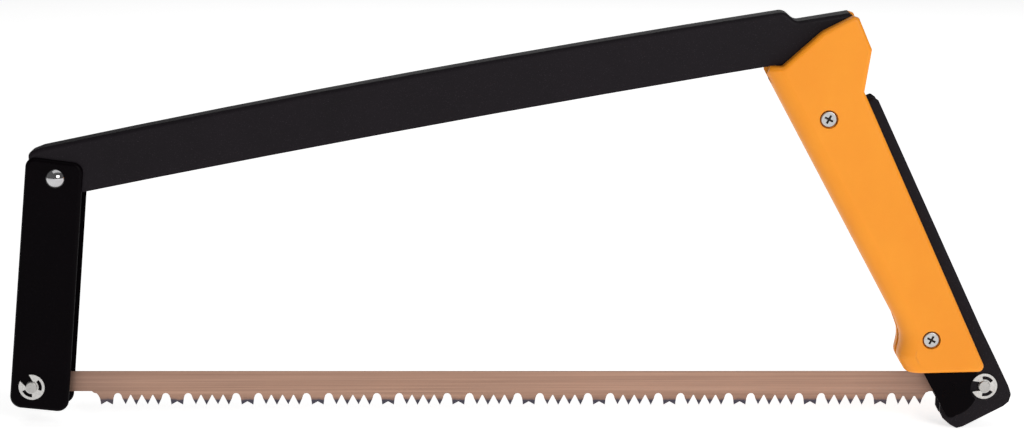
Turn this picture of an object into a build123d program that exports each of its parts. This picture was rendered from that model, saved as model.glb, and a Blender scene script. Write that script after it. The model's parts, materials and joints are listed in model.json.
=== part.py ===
from build123d import *
import math
import os

# Folding bow saw with a 530 mm blade, measured hole to hole. Millimetres, +Z up.
# Design points are given from the front blade hole, in the XZ plane: +X runs along
# the blade to the handle, +Z away from the teeth, and -Y is the near side.
# Everything is moved at the end so that the origin is the centre of the bottom of the box.

# ---- driving dimensions ----
BLADE_LENGTH = 530.0        # hole to hole
BLADE_T = 0.9               # blade thickness
BLADE_BACK = 6.3            # back edge above the holes
BLADE_EDGE = -5.2           # plain lower edge
TOOTH_TIP = -13.0           # tooth tips
TOOTH_PERIOD = 39.445       # raker to raker
FIRST_RAKER = 39.8
RAKERS = 12

A = (17.1, 117.6)           # front leg pivot on the spine
B = (0.0, 0.0)              # front blade pin
C = (BLADE_LENGTH, 0.0)     # rear blade pin
D = (439.5, 193.5)          # handle pivot on the spine
P = (510.1, -0.8)           # tension lever pivot
SCREWS = [(438.8, 151.5), (498.5, 28.2)]

SPINE_HALF, SPINE_T = 8.0, 1.6      # outside half width, sheet thickness
LEG_HALF, LEG_T = 10.2, 1.8
LEVER_HALF, LEVER_T = 8.2, 1.6
PLATE_IN, PLATE_OUT = 9.5, 11.1     # rear arm plates, inner and outer face
GRIP_IN, GRIP_OUT = 9.5, 16.5       # grip halves
SLOT_HALF = 2.5                     # half of the blade slot in the grip's front
FRONT_ROUND = [9.0, 8.0, 7.0, 6.0, 5.0, 4.0]   # rounding of the grip's front, first that builds
PIN_R = 3.2                         # blade pins
RIVET_R = 3.0                       # pivot rivets
RUN = 0.05                          # running clearance, radial

ORIGIN_X = 266.231                  # centre of the box, from the front blade hole
ORIGIN_Z = -24.29                   # bottom of the box


# ---- helpers ----
def wire_face(start, segs):
    """Closed face in XZ. segs: (x, z) for a line, ((x, z), (x, z)) for an arc through and to."""
    edges, cur = [], start
    for s in segs:
        if isinstance(s[0], tuple):
            m, e = s
            edges.append(ThreePointArc((cur[0], 0, cur[1]), (m[0], 0, m[1]), (e[0], 0, e[1])))
            cur = e
        else:
            edges.append(Line((cur[0], 0, cur[1]), (s[0], 0, s[1])))
            cur = s
    if math.dist(cur, start) > 1e-6:
        edges.append(Line((cur[0], 0, cur[1]), (start[0], 0, start[1])))
    return make_face(edges)


def prism(start, segs, y0, y1):
    return Pos(0, y0, 0) * extrude(wire_face(start, segs), amount=y1 - y0, dir=(0, 1, 0))


def poly(pts, y0, y1):
    return prism(pts[0], pts[1:], y0, y1)


def cyl(c, r, y0, y1):
    """Cylinder along Y."""
    return Pos(c[0], (y0 + y1) / 2, c[1]) * (Rot(90, 0, 0) * Cylinder(r, abs(y1 - y0)))


def ring(c, r0, r1, y0, y1):
    return cyl(c, r1, y0, y1) - cyl(c, r0, min(y0, y1) - 1, max(y0, y1) + 1)


def mirrored(s):
    return mirror(s, about=Plane.XZ)


def round_corners(s, spec):
    """Rounds the Y-direction edges nearest each (x, z), by radius."""
    for x, z, r in spec:
        es = [e for e in s.edges().filter_by(Axis.Y) if math.dist((e.center().X, e.center().Z), (x, z)) < 0.8]
        s = fillet(es, r)
    return s


def soften(s, picker, radii):
    """Rounds the picked edges by the first radius that builds."""
    es = [e for e in s.edges() if picker(e)]
    for r in radii:
        try:
            out = fillet(es, r)
            if out.is_valid and out.volume > 0:
                print("  softened", len(es), "edges by", r)
                return out
        except Exception:
            pass
    print("  NOT softened", len(es))
    return s


os.makedirs("parts", exist_ok=True)
SHIFT = Pos(-ORIGIN_X, 0, -ORIGIN_Z)
ALL = []


def keep(name, *solids):
    flat = []
    for s in solids:
        flat += list((SHIFT * s).solids())
    ALL.extend(flat)
    export_step(Compound(children=flat) if len(flat) > 1 else flat[0], f"parts/{name}.step")


def both(near):
    return [near, mirrored(near)]


# ---- spine: arched channel, web on top, open towards the blade ----
spine = prism(
    (10.83, 105.6),
    [((225, 147.4), (440, 185.0)), (449.5, 187.0), (453.0, 191.5), (453.0, 205.5), (449.7, 208.4),
     (420.6, 203.6), (414.6, 209.0), ((212.0, 174.5), (9.4, 134.3)),
     (2.4, 131.6), (2.4, 126.0), (3.5, 124.0), (3.3, 119.0), (3.9, 113.5)],
    -SPINE_HALF, SPINE_HALF)
spine = round_corners(spine, [(453.0, 205.5, 2.0), (414.6, 209.0, 6.0), (420.6, 203.6, 5.0), (9.4, 134.3, 9.0),
                              (2.4, 131.6, 3.0)])
spine = soften(spine, lambda e: abs(abs(e.center().Y) - SPINE_HALF) < 0.01 and e.length > 300
               and e.center().Z > 160, [2.2, 1.6, 1.0])
inner = prism(
    (-30, 60), [(-30, 125.4), (8.9, 132.6), ((212.1, 172.9), (413.6, 207.1)), (420.2, 201.7),
                (470, 210.0), (470, 60)],
    -(SPINE_HALF - SPINE_T), SPINE_HALF - SPINE_T)
spine -= inner
spine -= cyl(A, RIVET_R + RUN, -12, 12)
spine -= cyl(D, RIVET_R + RUN, -12, 12)
keep("spine", spine)

# ---- front pivot ----
rivet = cyl(A, RIVET_R, -(LEG_HALF + 0.1), LEG_HALF + 0.1)
dome_r = (5.2 ** 2 + 2.7 ** 2) / (2 * 2.7)
for s in (-1, 1):
    cap = (Pos(A[0], s * (LEG_HALF + 0.1 + 2.7 - dome_r), A[1]) * Sphere(dome_r)) & \
        cyl(A, 6, s * (LEG_HALF + 0.1), s * (LEG_HALF + 4))
    rivet += cap
keep("front_pivot_rivet", rivet)
keep("front_pivot_spacer", ring(A, RIVET_R + RUN, 5.0, -6.35, 6.35))
keep("front_pivot_washers", *both(ring(A, RIVET_R + RUN, 7.0, -(SPINE_HALF + 0.34), -(SPINE_HALF + 0.02))))

# ---- front leg: channel open towards the blade ----
leg_pts = [(1.5, 130.0), (32.9, 125.8), (19.4, -15.2), (-13.35, -11.9)]
leg = poly(leg_pts, -LEG_HALF, LEG_HALF)
leg = round_corners(leg, [(1.5, 130.0, 5.5), (32.9, 125.8, 5.5), (19.4, -15.2, 6.5), (-13.35, -11.9, 6.5)])
leg = soften(leg, lambda e: abs(abs(e.center().Y) - LEG_HALF) < 0.01 and e.length > 60
             and e.center().X < 0, [2.2, 1.5])
lx, lz = leg_pts[0][0] - leg_pts[3][0], leg_pts[0][1] - leg_pts[3][1]
ln = math.hypot(lx, lz)
ox, oz = lz / ln * LEG_T, -lx / ln * LEG_T
top = (leg_pts[0][0] + ox + lx * 0.2, leg_pts[0][1] + oz + lz * 0.2)
bot = (leg_pts[3][0] + ox - lx * 0.2, leg_pts[3][1] + oz - lz * 0.2)
leg -= poly([top, (80, top[1]), (80, bot[1]), bot], -(LEG_HALF - LEG_T), LEG_HALF - LEG_T)
# the web stops short at both ends, where the flange corners round off
leg -= poly([(-40, 160), (60, 160), (60, 124.2), (-40, 124.2)], -(LEG_HALF - LEG_T), LEG_HALF - LEG_T)
leg -= cyl(A, RIVET_R + RUN, -12, 12)
leg -= cyl(B, PIN_R + RUN, -12, 12)
keep("front_leg", leg)

# ---- blade ----
period = [(0.0, -11.1), (3.25, TOOTH_TIP), (3.7, -9.4), (4.3, -7.6), (5.2, -6.6), (6.3, -6.3), (7.4, -6.6),
          (8.2, -7.6), (8.7, -9.4), (10.4, TOOTH_TIP), (12.9, -8.0), (13.2, -7.4), (13.7, -7.4), (14.0, -8.0),
          (16.5, TOOTH_TIP), (19.2, -8.0), (19.5, -7.4), (19.9, -7.4), (20.2, -8.0),
          (22.8, TOOTH_TIP), (25.3, -8.0), (25.6, -7.4), (26.1, -7.4), (26.4, -8.0),
          (29.0, TOOTH_TIP), (30.7, -9.4), (31.2, -7.6), (32.0, -6.6), (33.1, -6.3), (34.2, -6.6), (35.1, -7.6),
          (35.7, -9.4), (36.15, TOOTH_TIP)]
k = TOOTH_PERIOD / 39.4
edge = [(31.6, BLADE_EDGE), (32.4, -6.0), (33.2, -6.3), (34.3, -6.6), (35.1, -7.6), (36.0, -9.4), (36.55, TOOTH_TIP)]
for i in range(RAKERS):
    x0 = FIRST_RAKER + i * TOOTH_PERIOD
    last = i == RAKERS - 1
    pts = period[:9] if last else period
    edge += [(x0 + x * k, z) for x, z in pts]
edge += [(483.8, TOOTH_TIP), (486.2, -8.0), (486.9, -8.0), (489.6, TOOTH_TIP), (492.3, -8.0), (493.0, -8.0),
         (496.2, TOOTH_TIP), (497.2, -9.4), (498.9, -6.2), (501.0, BLADE_EDGE)]
end = 6.6
outline = edge + [(BLADE_LENGTH + 3.0, BLADE_EDGE), (BLADE_LENGTH + end, -2.0), (BLADE_LENGTH + end, 3.0),
                  (BLADE_LENGTH + 3.4, BLADE_BACK), (-3.4, BLADE_BACK), (-end, 3.0), (-end, -2.0), (-3.0, BLADE_EDGE)]
blade = poly(outline, -BLADE_T / 2, BLADE_T / 2)
blade -= cyl(B, PIN_R + RUN, -3, 3)
blade -= cyl(C, PIN_R + RUN, -3, 3)
keep("saw_blade", blade)


# ---- blade pins and their retaining rings ----
def clip(c, y_in, y_out, mouth_deg):
    """Retaining ring with an open mouth and two windows; mouth_deg is the mouth's direction in XZ."""
    r = ring((0, 0), 2.55, 7.25, y_in, y_out)
    lo, hi = min(y_in, y_out) - 1, max(y_in, y_out) + 1
    r -= poly([(0, -2.2), (9, -3.4), (9, 3.4), (0, 2.2)], lo, hi)
    for a in (112, -112):
        win = ring((0, 0), 3.9, 5.7, lo, hi) & \
            poly([(0, 0), (14 * math.cos(math.radians(a - 34)), 14 * math.sin(math.radians(a - 34))),
                  (16 * math.cos(math.radians(a)), 16 * math.sin(math.radians(a))),
                  (14 * math.cos(math.radians(a + 34)), 14 * math.sin(math.radians(a + 34)))], lo, hi)
        r -= win
    return Pos(c[0], 0, c[1]) * (Rot(0, -mouth_deg, 0) * r)


def pin_end(c, y_face):
    """Pin from the face outward on the near side: groove for the ring, then a chamfered cap."""
    g = cyl(c, 2.5, -(y_face + 0.06), -(y_face + 1.04))
    capy = cyl(c, PIN_R, -(y_face + 1.04), -(y_face + 2.0))
    capy = soften(capy, lambda e: abs(e.center().Y + (y_face + 2.0)) < 0.01, [0.5, 0.3])
    return g + capy


pin = cyl(B, PIN_R, -(LEG_HALF + 0.06), LEG_HALF + 0.06)
e1 = pin_end(B, LEG_HALF)
pin = pin + e1 + mirrored(e1)
keep("front_blade_pin", pin)
keep("front_blade_clips", *both(clip(B, -(LEG_HALF + 0.08), -(LEG_HALF + 0.98), 125)))
keep("front_blade_spacers", *both(ring(B, PIN_R + RUN, 4.5, -8.35, -(BLADE_T / 2 + 0.05))))

stud = cyl(C, PIN_R, -(LEVER_HALF + 0.06), -1.2) + pin_end(C, LEVER_HALF)
keep("rear_blade_studs", *both(stud))
keep("rear_blade_clips", *both(clip(C, -(LEVER_HALF + 0.08), -(LEVER_HALF + 0.98), 180)))
keep("rear_blade_spacers", *both(ring(C, PIN_R + RUN, 5.0, -6.55, -1.6)))

# ---- rear arm plates, under the grip and out past it to the lever pivot ----
R_END = 16.0


def around(c, r, deg):
    return (c[0] + r * math.cos(math.radians(deg)), c[1] + r * math.sin(math.radians(deg)))


plate = prism(
    (492.5, 13.8),
    [(495.9, 7.6), (508.2, -14.7), (around(P, R_END, 268), around(P, R_END, 285)),
     (around(P, R_END, 312), around(P, R_END, 338)),
     ((C[0] - 8.0, C[1]), (C[0] - 5.2, 6.1)), (526.0, 11.0),
     (457.2, 162.0), (455.0, 167.0), (458.0, 189.5), (451.0, 203.2), (436.5, 196.5), (420.0, 182.0), (411.0, 176.0),
     (481.0, 42.0), (486.3, 30.0), (486.0, 22.0)],
    -PLATE_OUT, -PLATE_IN)
plate -= cyl(D, RIVET_R + RUN, -20, 0)
plate -= cyl(P, RIVET_R + RUN, -20, 0)
for s in SCREWS:
    plate -= cyl(s, 3.4, -20, 0)
keep("rear_arm_near_plate", plate)
keep("rear_arm_far_plate", mirrored(plate))

# ---- grip halves ----
grip_pts = [(405.3, 175.1), (406.8, 179.9), (413.3, 179.9), (434.3, 198.8), (451.0, 207.3), (453.9, 206.3),
            (461.3, 189.3), (457.8, 166.2), (459.9, 161.7), (529.9, 9.9), (487.1, 8.8), (484.9, 10.2),
            (480.9, 17.3), (482.4, 25.3), (482.5, 29.9), (479.1, 39.0)]
grip = poly(grip_pts, -GRIP_OUT, -SLOT_HALF)
grip = round_corners(grip, [(461.3, 189.3, 2.0), (434.3, 198.8, 8.0), (413.3, 179.9, 2.5), (480.9, 17.3, 7.0),
                            (482.5, 29.9, 12.0), (479.1, 39.0, 10.0), (457.8, 166.2, 1.5), (529.9, 9.9, 3.2)])


def on_front(e):
    c = e.center()
    if abs(c.Y + GRIP_OUT) > 0.01:
        return False
    line = (c.X - 405.3) * 0.8785 + (c.Z - 175.1) * 0.478
    return (abs(line) < 1.5 and c.Z < 170) or (c.X < 485.5 and 9.6 < c.Z < 45 and c.X > 470)


grip = soften(grip, on_front, FRONT_ROUND)
grip = soften(grip, lambda e: abs(e.center().Y + GRIP_OUT) < 0.01, [3.0, 2.5, 2.0, 1.5, 1.2])
# inside: open for the plates, the spine, the lever and the blade, leaving a front wall with a slot
grip -= poly([(395, 170.5), (411.5, 170.5), (482.0, 40.6), (485.7, 30.2), (485.6, 24.5), (484.6, 18.2),
              (487.6, 12.8), (490.0, 5), (560, 5), (560, 230), (395, 230)], -GRIP_IN, 0)
grip -= plate
for s in SCREWS:
    grip -= cyl(s, 3.4, -13.1, 0)
    grip -= cyl(s, 2.3, -20, 0)
    grip -= cyl(s, 5.1, -20, -(GRIP_OUT - 2.3))
grip -= cyl(D, 5.2, -12.6, 0)
keep("grip_near_half", grip)
keep("grip_far_half", mirrored(grip))


def screw(c):
    seat = -(GRIP_OUT - 2.3) - 0.02
    head = cyl(c, 4.45, seat, seat - 1.7)
    head = soften(head, lambda e: abs(e.center().Y - (seat - 1.7)) < 0.01, [0.8, 0.5])
    for a in (0, 90):
        head -= Pos(c[0], seat - 1.7, c[1]) * (Rot(0, a + 28, 0) * Box(5.0, 2.2, 1.15))
    return head + cyl(c, 1.95, seat - 0.4, -PLATE_IN - 0.2)


keep("grip_screws", *[x for s in SCREWS for x in both(screw(s))])
keep("grip_screw_bushes", *[x for s in SCREWS for x in both(ring(s, 2.0, 3.38, -13.05, -9.52))])

# ---- rear pivot: one short rivet each side, so that the blade passes between ----
rr = cyl(D, RIVET_R, -6.3, -PLATE_OUT) + cyl(D, 4.6, -6.36, -5.2) + cyl(D, 4.6, -(PLATE_OUT + 0.05), -12.4)
rr += cyl(D, RIVET_R, -PLATE_OUT + 0.5, -12.0)
keep("rear_pivot_rivets", *both(rr))
keep("rear_pivot_washers", *both(ring(D, RIVET_R + RUN, 6.5, -(PLATE_IN - 0.06), -(SPINE_HALF + 0.06))))
keep("frame_stop_studs", *both(cyl((415.0, 176.6), 3.0, -PLATE_IN + 0.02, -6.1)))
keep("head_spacer", cyl((452.6, 171.5), 3.2, -PLATE_IN + 0.02, PLATE_IN - 0.02))

# ---- tension lever: channel with its web at the back ----
O = (459.9, 161.7)
U = (0.4188, -0.9081)
V = (0.9081, 0.4188)


def H(u, v):
    return (O[0] + u * U[0] + v * V[0], O[1] + u * U[1] + v * V[1])


back = [(466.7, 160.6), (474.2, 144.8), (527.7, 32.1), (536.5, 14.7), (543.8, -0.1), (545.3, -4.9), (544.1, -9.1),
        (541.1, -11.7)]
front = [(519.0, -23.4), (515.5, -24.4), (511.8, -22.4), (507.6, -18.7), (505.9, -15.4), (506.0, -11.0),
         (503.4, -4.0), (502.6, 4.0), (506.0, 12.0), (509.0, 18.0), (508.0, 30.0), H(100, -7), H(20, -7), (460.6, 159.0), (460.9, 161.2),
         (463.9, 162.6)]
lever = poly(back + front, -LEVER_HALF, LEVER_HALF)
lever = round_corners(lever, [(545.3, -4.9, 3.0), (541.1, -11.7, 2.5), (515.5, -24.4, 1.5), (466.7, 160.6, 1.2),
                              (519.0, -23.4, 2.0), (463.9, 162.6, 1.6)])
lever = soften(lever, lambda e: abs(abs(e.center().Y) - LEVER_HALF) < 0.01 and e.length > 100
               and e.center().X > 495 and e.center().Z < 95, [1.6, 1.2, 0.8])
# hollow: the back line moved in by the web, open below and in front
W = 1.3
nx, nz = 0.9035, 0.4286
ib = [(x - nx * W, z - nz * W) for x, z in back[:5]]
ib[0] = (ib[0][0] - 10 * -0.4, ib[0][1] + 10 * 0.9)
hollow = poly(ib + [(542.2, -8.0), (560, -60), (440, -60), (430, 200)], -(LEVER_HALF - LEVER_T), LEVER_HALF - LEVER_T)
lever -= hollow
lever -= cyl(P, RIVET_R + RUN, -12, 12)
lever -= cyl(C, PIN_R + RUN, -12, 12)
keep("tension_lever", lever)
ps = cyl(P, RIVET_R, -6.4, -PLATE_OUT + 0.02) + cyl(P, 4.6, -6.52, -5.3)
keep("lever_pivot_studs", *both(ps))
keep("lever_pivot_washers", *both(ring(P, RIVET_R + RUN, 6.0, -(PLATE_IN - 0.06), -(LEVER_HALF + 0.06))))

bb = Compound(children=ALL).bounding_box()
print("box", bb.min, bb.max)
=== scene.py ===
import json
import math
import bmesh
import bpy
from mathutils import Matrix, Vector


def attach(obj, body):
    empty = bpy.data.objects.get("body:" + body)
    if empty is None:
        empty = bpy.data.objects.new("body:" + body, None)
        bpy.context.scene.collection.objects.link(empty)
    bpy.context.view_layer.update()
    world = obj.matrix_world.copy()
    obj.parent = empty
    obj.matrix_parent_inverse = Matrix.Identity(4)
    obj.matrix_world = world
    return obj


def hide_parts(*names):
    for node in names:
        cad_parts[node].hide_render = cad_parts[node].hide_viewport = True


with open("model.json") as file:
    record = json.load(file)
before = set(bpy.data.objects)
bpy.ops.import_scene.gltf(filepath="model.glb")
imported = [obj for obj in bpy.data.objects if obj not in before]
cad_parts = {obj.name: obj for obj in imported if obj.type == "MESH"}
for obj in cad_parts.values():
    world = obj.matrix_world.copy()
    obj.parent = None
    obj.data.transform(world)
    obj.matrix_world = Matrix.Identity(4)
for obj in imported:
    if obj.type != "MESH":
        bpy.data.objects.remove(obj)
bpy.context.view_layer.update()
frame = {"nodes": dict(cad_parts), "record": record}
nodes = frame["nodes"]


# ------------------------------------------------------------------ camera
bpy.context.scene.view_settings.view_transform = "Standard"
ELEV = math.radians(11.7)
target = Vector((0.000869, 0.0, 0.11469))
DIST = 1.37125
cam_data = bpy.data.cameras.new("camera")
cam_data.sensor_fit = "HORIZONTAL"
cam_data.sensor_width = 36.0
cam_data.lens = 2480.0 / 1024.0 * 36.0
cam_data.clip_end = 20.0
cam = bpy.data.objects.new("camera", cam_data)
cam.location = target + Vector((0, -math.cos(ELEV), math.sin(ELEV))) * DIST
cam.rotation_euler = (target - cam.location).to_track_quat("-Z", "Y").to_euler()
bpy.context.scene.collection.objects.link(cam)
bpy.context.scene.camera = cam


# ------------------------------------------------------------------ node helpers
class Mat:
    def __init__(self, name):
        self.m = bpy.data.materials.new(name)
        self.m.use_nodes = True
        self.t = self.m.node_tree
        self.b = next(n for n in self.t.nodes if n.type == "BSDF_PRINCIPLED")
        self.tc = self.t.nodes.new("ShaderNodeTexCoord")

    def n(self, kind, **kw):
        x = self.t.nodes.new(kind)
        for k, v in kw.items():
            setattr(x, k, v)
        return x

    def link(self, a, b):
        self.t.links.new(a, b)

    def set(self, **kw):
        for k, v in kw.items():
            self.b.inputs[k.replace("_", " ")].default_value = v

    def mapping(self, scale, rot=(0, 0, 0)):
        mp = self.n("ShaderNodeMapping")
        mp.inputs["Scale"].default_value = scale
        mp.inputs["Rotation"].default_value = rot
        self.link(self.tc.outputs["Object"], mp.inputs["Vector"])
        return mp.outputs["Vector"]

    def noise(self, vec, scale, detail=3.0, rough=0.5, dist=0.0):
        x = self.n("ShaderNodeTexNoise")
        x.inputs["Scale"].default_value = scale
        x.inputs["Detail"].default_value = detail
        x.inputs["Roughness"].default_value = rough
        x.inputs["Distortion"].default_value = dist
        self.link(vec, x.inputs["Vector"])
        return x.outputs["Fac"]

    def ramp(self, fac, stops):
        r = self.n("ShaderNodeValToRGB")
        els = r.color_ramp.elements
        while len(els) > 1:
            els.remove(els[-1])
        els[0].position, els[0].color = stops[0][0], tuple(stops[0][1]) + (1,)
        for p, c in stops[1:]:
            e = els.new(p)
            e.color = tuple(c) + (1,)
        self.link(fac, r.inputs["Fac"])
        return r.outputs["Color"]

    def math(self, op, a, b=None, clamp=False):
        x = self.n("ShaderNodeMath", operation=op, use_clamp=clamp)
        for i, v in enumerate((a, b)):
            if v is None:
                continue
            if isinstance(v, (int, float)):
                x.inputs[i].default_value = v
            else:
                self.link(v, x.inputs[i])
        return x.outputs[0]

    def mix(self, fac, a, b, mode="MIX"):
        x = self.n("ShaderNodeMix", data_type="RGBA", blend_type=mode)
        for sock, v in ((x.inputs[0], fac), (x.inputs[6], a), (x.inputs[7], b)):
            if isinstance(v, (int, float)):
                sock.default_value = v
            elif isinstance(v, tuple):
                sock.default_value = v + (1,)
            else:
                self.link(v, sock)
        return x.outputs[2]

    def mapr(self, v, a, b, c, d):
        x = self.n("ShaderNodeMapRange")
        for i, k in enumerate((a, b, c, d)):
            x.inputs[i + 1].default_value = k
        self.link(v, x.inputs[0])
        return x.outputs[0]

    def bump(self, height, strength, distance, normal=None):
        x = self.n("ShaderNodeBump")
        x.inputs["Strength"].default_value = strength
        x.inputs["Distance"].default_value = distance
        self.link(height, x.inputs["Height"])
        if normal is not None:
            self.link(normal, x.inputs["Normal"])
        return x.outputs["Normal"]


def black_paint(name, dark, light, speck_col, speck_amt, rough, spec, grain_amt):
    m = Mat(name)
    o = m.mapping((1, 1, 1))
    grain = m.noise(o, 2600, 2.0, 0.6)
    orange_peel = m.noise(o, 700, 2.0, 0.5)
    cloud = m.noise(o, 28, 4.0, 0.6)
    scratch = m.noise(m.mapping((40, 900, 900), (0, 0.18, 0)), 1.0, 4.0, 0.7)
    speck = m.math("GREATER_THAN", m.noise(o, 1900, 1.0, 0.4), 0.69)
    col = m.mix(m.mapr(cloud, 0.3, 0.7, 0, 1), dark, light)
    col = m.mix(m.math("MULTIPLY", speck, speck_amt), col, speck_col)
    fine = m.mapr(scratch, 0.66, 0.74, 0, 0.25)
    col = m.mix(fine, col, speck_col)
    m.link(col, m.b.inputs["Base Color"])
    m.link(m.math("ADD", m.mapr(cloud, 0.3, 0.7, rough[0], rough[1]), m.math("MULTIPLY", grain, 0.06)), m.b.inputs["Roughness"])
    n1 = m.bump(orange_peel, 0.22 * grain_amt, 0.00012)
    m.link(m.bump(grain, 0.35 * grain_amt, 0.00007, n1), m.b.inputs["Normal"])
    m.set(Specular_IOR_Level=spec)
    return m.m


def grip_plastic():
    m = Mat("grip_plastic")
    o = m.mapping((1, 1, 1))
    cloud = m.noise(o, 22, 4.0, 0.6)
    spark = m.noise(o, 1700, 3.0, 0.55)
    flow = m.noise(m.mapping((60, 60, 14), (0, -0.42, 0)), 1.0, 3.0, 0.5)
    col = m.mix(m.mapr(cloud, 0.3, 0.7, 0, 1), (0.930, 0.312, 0.012), (0.975, 0.343, 0.017))
    col = m.mix(m.mapr(flow, 0.35, 0.75, 0, 0.35), col, (0.90, 0.278, 0.010))
    col = m.mix(m.mapr(spark, 0.55, 0.75, 0, 0.12), col, (1.0, 0.42, 0.06))
    m.link(col, m.b.inputs["Base Color"])
    m.link(m.math("ADD", m.mapr(cloud, 0.3, 0.7, 0.37, 0.46), m.math("MULTIPLY", spark, 0.05)), m.b.inputs["Roughness"])
    n1 = m.bump(m.noise(o, 320, 2.0, 0.5), 0.10, 0.00010)
    m.link(m.bump(spark, 0.22, 0.00005, n1), m.b.inputs["Normal"])
    m.set(Subsurface_Weight=0.06, Subsurface_Scale=0.003, Specular_IOR_Level=0.33)
    m.b.inputs["Subsurface Radius"].default_value = (1.0, 0.45, 0.12)
    return m.m


def blade_steel():
    m = Mat("blade_steel")
    o = m.mapping((1, 1, 1))
    sep = m.n("ShaderNodeSeparateXYZ")
    m.link(m.tc.outputs["Object"], sep.inputs[0])
    x, z = sep.outputs[0], sep.outputs[2]
    brush = m.noise(m.mapping((9, 500, 3600)), 1.0, 5.0, 0.65)
    streak = m.noise(m.mapping((3.0, 200, 420)), 1.0, 3.0, 0.6)
    cloud = m.noise(m.mapping((14, 60, 60)), 1.0, 4.0, 0.6)
    col = m.mix(m.mapr(streak, 0.3, 0.7, 0, 1), (0.350, 0.208, 0.150), (0.520, 0.320, 0.235))
    col = m.mix(m.mapr(brush, 0.35, 0.68, 0, 0.6), col, (0.245, 0.148, 0.110))
    col = m.mix(m.mapr(cloud, 0.35, 0.7, 0, 0.35), col, (0.450, 0.262, 0.185))
    wob = m.math("MULTIPLY", m.math("SUBTRACT", m.noise(o, 260, 3.0, 0.6), 0.5), 0.0016)
    zz = m.math("ADD", z, wob)
    blue = m.mapr(zz, 0.01505, 0.01385, 0, 1)
    warm = m.math("MULTIPLY", m.mapr(zz, 0.0162, 0.0150, 0, 1), m.mapr(zz, 0.0138, 0.0150, 0, 1))
    col = m.mix(m.math("MULTIPLY", warm, 0.45), col, (0.20, 0.115, 0.085))
    col = m.mix(blue, col, (0.070, 0.066, 0.088))
    # painted shade: the blade colour is darkened towards both ends, beside the front leg and where it runs into the
    # handle
    end_shade = m.math("MAXIMUM", m.mapr(x, -0.205, -0.262, 0, 0.5), m.mapr(x, 0.19, 0.24, 0, 0.45))
    col = m.mix(end_shade, col, (0.13, 0.088, 0.078))
    m.link(col, m.b.inputs["Base Color"])
    m.link(m.math("ADD", m.mapr(brush, 0.3, 0.7, 0.30, 0.48), m.math("MULTIPLY", blue, 0.06)), m.b.inputs["Roughness"])
    m.link(m.bump(brush, 0.35, 0.00004), m.b.inputs["Normal"])
    m.set(Metallic=0.92, Anisotropic=0.55)
    return m.m


def metal(name, c0, c1, rough, scale=900, bump=0.15, metallic=1.0, brushed=None, pits=0.0, recess_shade=None):
    m = Mat(name)
    o = m.mapping((1, 1, 1))
    a = m.noise(o, scale, 3.0, 0.6)
    b = m.noise(o, 90, 4.0, 0.6)
    col = m.mix(m.mapr(b, 0.3, 0.7, 0, 1), c0, c1)
    h = a
    if brushed:
        h = m.noise(m.mapping(brushed), 1.0, 4.0, 0.65)
        col = m.mix(m.mapr(h, 0.4, 0.7, 0, 0.35), col, tuple(v * 0.6 for v in c0))
    if pits:
        p = m.mapr(m.noise(o, 1500, 2.0, 0.6), 0.60, 0.68, 0, pits)
        col = m.mix(p, col, tuple(v * 0.35 for v in c0))
    # painted shade: the screw's cross recess is darkened the deeper it goes, standing in for the shade inside it
    if recess_shade:
        sep = m.n("ShaderNodeSeparateXYZ")
        m.link(m.tc.outputs["Object"], sep.inputs[0])
        depth = m.math("ABSOLUTE", sep.outputs[1])
        col = m.mix(m.mapr(depth, recess_shade[1], recess_shade[0], 0, 1), col, (0.035, 0.028, 0.024))
    m.link(col, m.b.inputs["Base Color"])
    m.link(m.mapr(b, 0.3, 0.7, rough[0], rough[1]), m.b.inputs["Roughness"])
    m.link(m.bump(h, bump, 0.00004), m.b.inputs["Normal"])
    m.set(Metallic=metallic)
    return m.m


BLACK = black_paint("black_paint", (0.0058, 0.0038, 0.0058), (0.0088, 0.0060, 0.0088), (0.036, 0.029, 0.036), 0.6,
                    (0.46, 0.56), 0.14, 1.0)
SATIN = black_paint("black_satin", (0.0011, 0.0005, 0.0010), (0.0019, 0.0009, 0.0017), (0.008, 0.006, 0.008), 0.35,
                    (0.34, 0.42), 0.035, 0.45)
GRIP = grip_plastic()
BLADE = blade_steel()
CHROME = metal("rivet_chrome", (0.46, 0.45, 0.46), (0.54, 0.54, 0.55), (0.10, 0.18), bump=0.05)
CLIP = metal("clip_steel", (0.56, 0.545, 0.53), (0.66, 0.65, 0.63), (0.30, 0.42), bump=0.25, brushed=(900, 300, 900), pits=0.35)
PIN = metal("pin_steel", (0.40, 0.39, 0.38), (0.52, 0.51, 0.49), (0.34, 0.46), bump=0.3, pits=0.5)
SCREW = metal("screw_steel", (0.46, 0.46, 0.46), (0.56, 0.56, 0.55), (0.28, 0.40), bump=0.15, pits=0.12, recess_shade=(0.01535, 0.0158))
PLAIN = metal("plain_steel", (0.26, 0.26, 0.27), (0.36, 0.36, 0.36), (0.34, 0.48), bump=0.2, pits=0.3)
SHELF = {"black_paint": BLACK, "grip_plastic": GRIP, "blade_steel": BLADE, "rivet_chrome": CHROME,
         "clip_steel": CLIP, "pin_steel": PIN, "screw_steel": SCREW, "plain_steel": PLAIN}

slots = {s["node"]: s["material_slot"] for s in frame["record"]["subparts"]}
SATIN_NODES = {"front_leg", "rear_arm_near_plate", "rear_arm_far_plate", "lever_pivot_studs"}
BEVEL = {"spine": 0.00025, "front_leg": 0.00030, "tension_lever": 0.00030, "rear_arm_near_plate": 0.0003,
         "rear_arm_far_plate": 0.0003, "front_blade_clips": 0.00014, "rear_blade_clips": 0.00014,
         "grip_screws": 0.00010, "grip_near_half": 0.0003, "grip_far_half": 0.0003}
for name, ob in nodes.items():
    ob.data.materials.clear()
    ob.data.materials.append(SATIN if name in SATIN_NODES else SHELF[slots[name]])
    weld = ob.modifiers.new("weld", "WELD")
    weld.merge_threshold = 1e-6
    if name in BEVEL:
        bv = ob.modifiers.new("edge", "BEVEL")
        bv.width = BEVEL[name]
        bv.segments = 2
        bv.limit_method = "ANGLE"
        bv.angle_limit = math.radians(50)
        bv.harden_normals = True

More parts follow.
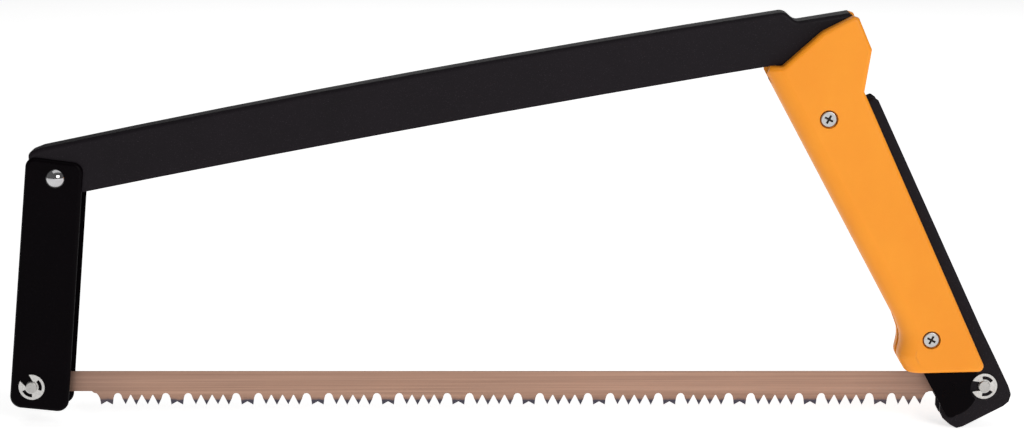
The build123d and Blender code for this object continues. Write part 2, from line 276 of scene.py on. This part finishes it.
# ------------------------------------------------------------------ blade with set and ground teeth
Z0 = 0.02429            # height of the blade holes
TIP_Z = Z0 - 0.0130
src = nodes["saw_blade"].data
bm = bmesh.new()
bm.from_mesh(src)
bmesh.ops.remove_doubles(bm, verts=bm.verts, dist=1e-6)
for h in (Z0 - 0.0072, Z0 - 0.0092, Z0 - 0.0111):
    bmesh.ops.bisect_plane(bm, geom=bm.verts[:] + bm.edges[:] + bm.faces[:], plane_co=(0, 0, h), plane_no=(0, 0, 1))
for h in (-0.0040, 0.0, 0.0040):
    bmesh.ops.bisect_plane(bm, geom=bm.verts[:] + bm.edges[:] + bm.faces[:], plane_co=(0, 0, Z0 + h), plane_no=(0, 0, 1))
tips = sorted(set(round(v.co.x, 5) for v in bm.verts if v.co.z < TIP_Z + 0.0001))
merged = []
for t in tips:
    if not merged or t - merged[-1] > 0.0008:
        merged.append(t)
tips = merged
gaps = [min([abs(t - u) for u in tips if u != t]) for t in tips]
# a raker's two points stand between deep gullets; the cutting teeth between them lean out by turns
first_raker = -0.266231 + 0.0398
lean, sign = {}, 1
for t in tips:
    k = (t - first_raker) / 0.039445
    near = abs(k - round(k)) * 0.039445
    if near < 0.0045 and -0.5 < k < 11.5:
        lean[t] = 0.0
    else:
        lean[t] = 0.00042 * sign
        sign = -sign
for v in bm.verts:
    d = Z0 - 0.0072 - v.co.z
    if d <= 1e-6:
        continue
    t = min(tips, key=lambda u: abs(u - v.co.x))
    w = min(1.0, d / 0.0058)
    side = 1 if v.co.y > 0 else -1
    thin = 1 - 0.60 * w if lean[t] else 1 - 0.25 * w
    outer = lean[t] * side > 0
    y = v.co.y * (1.0 if outer else thin)
    v.co.y = y + lean[t] * w
bmesh.ops.dissolve_degenerate(bm, dist=2e-6, edges=bm.edges)
bmesh.ops.remove_doubles(bm, verts=bm.verts, dist=2e-6)
bmesh.ops.recalc_face_normals(bm, faces=bm.faces)
me = bpy.data.meshes.new("blade_ground_teeth")
bm.to_mesh(me)
bm.free()
me.materials.append(BLADE)
blade = bpy.data.objects.new("blade_ground_teeth", me)
bpy.context.scene.collection.objects.link(blade)
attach(blade, "saw_blade")
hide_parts("saw_blade")

# ------------------------------------------------------------------ stage and light
def emitter(name, strength, col=(1, 1, 1), diffuse=(0.9, 0.9, 0.9)):
    m = Mat(name)
    m.set(Roughness=0.9, Specular_IOR_Level=0.0)
    o = m.mapping((1, 1, 1))
    c = m.mix(m.noise(o, 3, 3.0, 0.5), diffuse, tuple(min(1, v * 1.02) for v in diffuse))
    m.link(c, m.b.inputs["Base Color"])
    m.b.inputs["Emission Color"].default_value = tuple(col) + (1,)
    m.b.inputs["Emission Strength"].default_value = strength
    return m.m


def plane(name, verts, mat):
    me = bpy.data.meshes.new(name)
    me.from_pydata(verts, [], [(0, 1, 2, 3)])
    me.materials.append(mat)
    ob = bpy.data.objects.new(name, me)
    bpy.context.scene.collection.objects.link(ob)
    return ob


WHITE = emitter("stage_white", 0.72)
floor = plane("floor", [(-9, -9, 0), (9, -9, 0), (9, 9, 0), (-9, 9, 0)], WHITE)


def area(name, loc, aim, size, power, col=(1, 1, 1)):
    d = bpy.data.lights.new(name, "AREA")
    d.shape = "RECTANGLE"
    d.size, d.size_y = size
    d.energy = power
    d.color = col
    o = bpy.data.objects.new(name, d)
    o.location = loc
    o.rotation_euler = (Vector(aim) - Vector(loc)).to_track_quat("-Z", "Y").to_euler()
    bpy.context.scene.collection.objects.link(o)
    return o


area("key_front", (1.25, -2.3, 1.25), (0.05, 0, 0.12), (1.3, 1.1), 33)
area("top", (0.1, -0.2, 1.9), (0, 0, 0.1), (2.4, 1.0), 6)
area("back_rim", (0.3, 1.8, 1.0), (0, 0, 0.12), (2.0, 0.8), 4)

world = bpy.data.worlds.new("world")
bpy.context.scene.world = world
world.use_nodes = True
world.node_tree.nodes["Background"].inputs[0].default_value = (1, 1, 1, 1)
world.node_tree.nodes["Background"].inputs[1].default_value = 0.14
